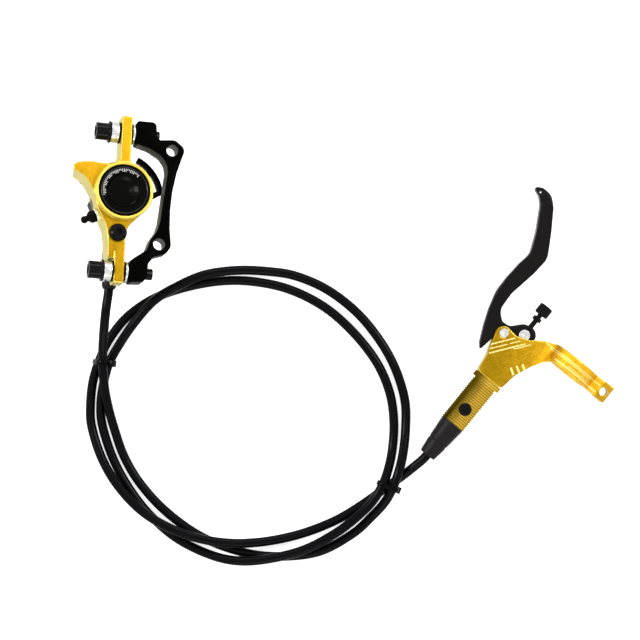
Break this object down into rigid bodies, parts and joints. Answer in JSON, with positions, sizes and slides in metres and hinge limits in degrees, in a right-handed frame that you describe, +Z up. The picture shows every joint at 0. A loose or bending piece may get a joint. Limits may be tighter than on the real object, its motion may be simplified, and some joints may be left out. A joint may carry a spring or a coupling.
{
  "type": "hydraulic disc brake set",
  "caption": "Hydraulic bicycle disc brake: a gold caliper on an adapter bracket, a coiled hose and a brake lever with a handlebar clamp.",
  "frame": {"origin": "on the surface the set lies on, at the centre of the box around all pieces except the hose and its two ties", "axes": "+X from the caliper towards the lever, +Y from the hose coil towards the tip of the lever blade, +Z up"},
  "size_m": [0.2857, 0.2378, 0.0433],
  "materials": {
    "gold anodised": "satin",
    "black plastic": "matte",
    "black rubber": "matte",
    "bright steel": "satin",
    "black steel": "satin",
    "pad steel": "satin",
    "friction lining": "matte",
    "black painted alloy": "satin",
    "anodised black alloy": "satin",
    "light alloy": "satin",
    "brass": "satin",
    "hose jacket": "glossy"
  },
  "bodies": {
    "fixed_parts": {"caliper_outer_half": "gold anodised", "caliper_inner_half": "gold anodised", "bore_cap": "black plastic", "cap_seal": "black rubber", "outer_piston_seal": "black rubber", "inner_piston_seal": "black rubber", "pad_pin": "bright steel", "pad_spring": "bright steel", "pad_spacer": "black plastic", "body_bolt": "black steel", "finger_bolt": "black steel", "transfer_seal": "black rubber", "post_bolts": "black steel", "concave_washers": "bright steel", "convex_washers": "bright steel", "seat_washers": "bright steel", "thin_washers": "black steel", "adapter_bracket": "black painted alloy", "caliper_hose_nut": "black steel", "hose_grommet": "black rubber", "hose_olives": "brass", "bleed_nipple": "bright steel", "bleed_cap": "black rubber", "lever_perch": "gold anodised", "reservoir_sleeve": "gold anodised", "reservoir_bladder": "black rubber", "bleed_screw": "black steel", "lever_hose_nut": "black steel", "hose_boot": "black rubber", "return_spring": "bright steel", "retaining_clip": "bright steel", "pivot_pin": "bright steel", "hose": "hose jacket", "cable_tie_left": "black plastic", "cable_tie_right": "black plastic"},
    "outer_pad": {"outer_piston": "bright steel", "outer_pad_backing": "pad steel", "outer_pad_lining": "friction lining"},
    "inner_pad": {"inner_piston": "bright steel", "inner_pad_backing": "pad steel", "inner_pad_lining": "friction lining"},
    "master_piston_body": {"master_piston": "light alloy", "primary_cup": "black rubber", "secondary_seal": "black rubber"},
    "blade": {"lever_blade": "anodised black alloy", "pivot_bush": "brass"},
    "barrel": {"barrel_nut": "bright steel"},
    "reach_adjuster": {"push_rod": "black steel", "lock_nut": "black steel", "reach_knob": "black plastic"}
  },
  "joints": [
    {"name": "blade_pull", "type": "hinge", "parent": "fixed_parts", "child": "blade", "pos_m": [0.0843, -0.0229, 0.0083], "axis": [0, 0, -1], "range_deg": [0, 20], "stiffness_Nm_per_rad": 0.6, "springref_deg": -11.46},
    {"name": "barrel_turn", "type": "hinge", "parent": "blade", "child": "barrel", "pos_m": [0.09532, -0.02423, 0.0083], "axis": [0, 0, 1], "range_deg": [0, 17.2]},
    {"name": "reach_adjust", "type": "hinge", "parent": "barrel", "child": "reach_adjuster", "pos_m": [0.09161, -0.02882, 0.0083], "axis": [0.6293, 0.7771, 0], "range_deg": [-180, 180]},
    {"name": "master_stroke", "type": "slide", "parent": "fixed_parts", "child": "master_piston_body", "axis": [-0.6293, -0.7771, 0], "range_m": [0, 0.0036], "deforming": ["return_spring"]},
    {"name": "outer_pad_press", "type": "slide", "parent": "fixed_parts", "child": "outer_pad", "axis": [-0.2803, -0.1503, -0.9481], "range_m": [0, 0.00024], "deforming": ["pad_spring"]},
    {"name": "inner_pad_press", "type": "slide", "parent": "fixed_parts", "child": "inner_pad", "axis": [0.2803, 0.1503, 0.9481], "range_m": [0, 0.00024]}
  ],
  "couplings": [
    {"joint": "barrel_turn", "follows": "blade_pull", "ratio": 0.855},
    {"joint": "master_stroke", "follows": "blade_pull", "m_per_rad": 0.01014},
    {"joint": "outer_pad_press", "follows": "blade_pull", "m_per_rad": 0.00067},
    {"joint": "inner_pad_press", "follows": "blade_pull", "m_per_rad": 0.00067}
  ]
}
